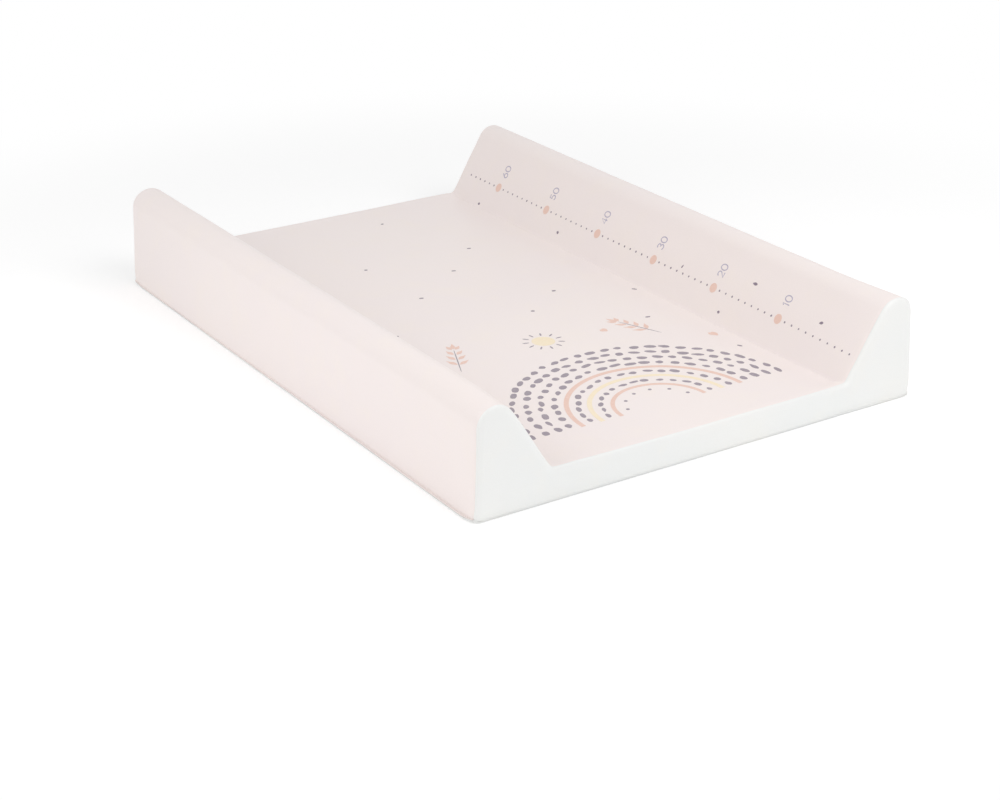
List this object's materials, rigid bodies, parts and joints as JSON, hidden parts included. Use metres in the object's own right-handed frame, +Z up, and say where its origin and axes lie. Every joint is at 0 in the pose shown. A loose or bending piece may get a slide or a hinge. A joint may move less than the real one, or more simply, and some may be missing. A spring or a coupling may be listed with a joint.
{
  "type": "changing mat",
  "caption": "Wedge changing mat: flat foam lying surface between raised foam bolsters, wrapped in printed wipe-clean film with plain rolled end panels, a backing sheet and a flat hem.",
  "frame": {"origin": "middle of the underside, on the surface that the mat lies on", "axes": "+Z up out of the lying surface, +Y along the length towards the head end, +X across the width towards the bolster that carries the ruler"},
  "size_m": [0.4902, 0.6964, 0.1035],
  "materials": {
    "printed_film": "satin blush pink film with a fine print",
    "white_film": "satin white film",
    "backing_film": "matte white backing film with a fine grain",
    "foam": "open-cell soft foam",
    "vent_plastic": "smooth white moulded plastic"
  },
  "bodies": {
    "root": {"printed_top_cover": "printed_film", "front_end_panel": "white_film", "rear_end_panel": "white_film", "base_sheet": "backing_film", "foam_base_slab": "foam", "left_foam_wedge": "foam", "right_foam_wedge": "foam", "left_vent_eyelet": "vent_plastic", "left_vent_washer": "vent_plastic", "right_vent_eyelet": "vent_plastic", "right_vent_washer": "vent_plastic"}
  },
  "joints": []
}
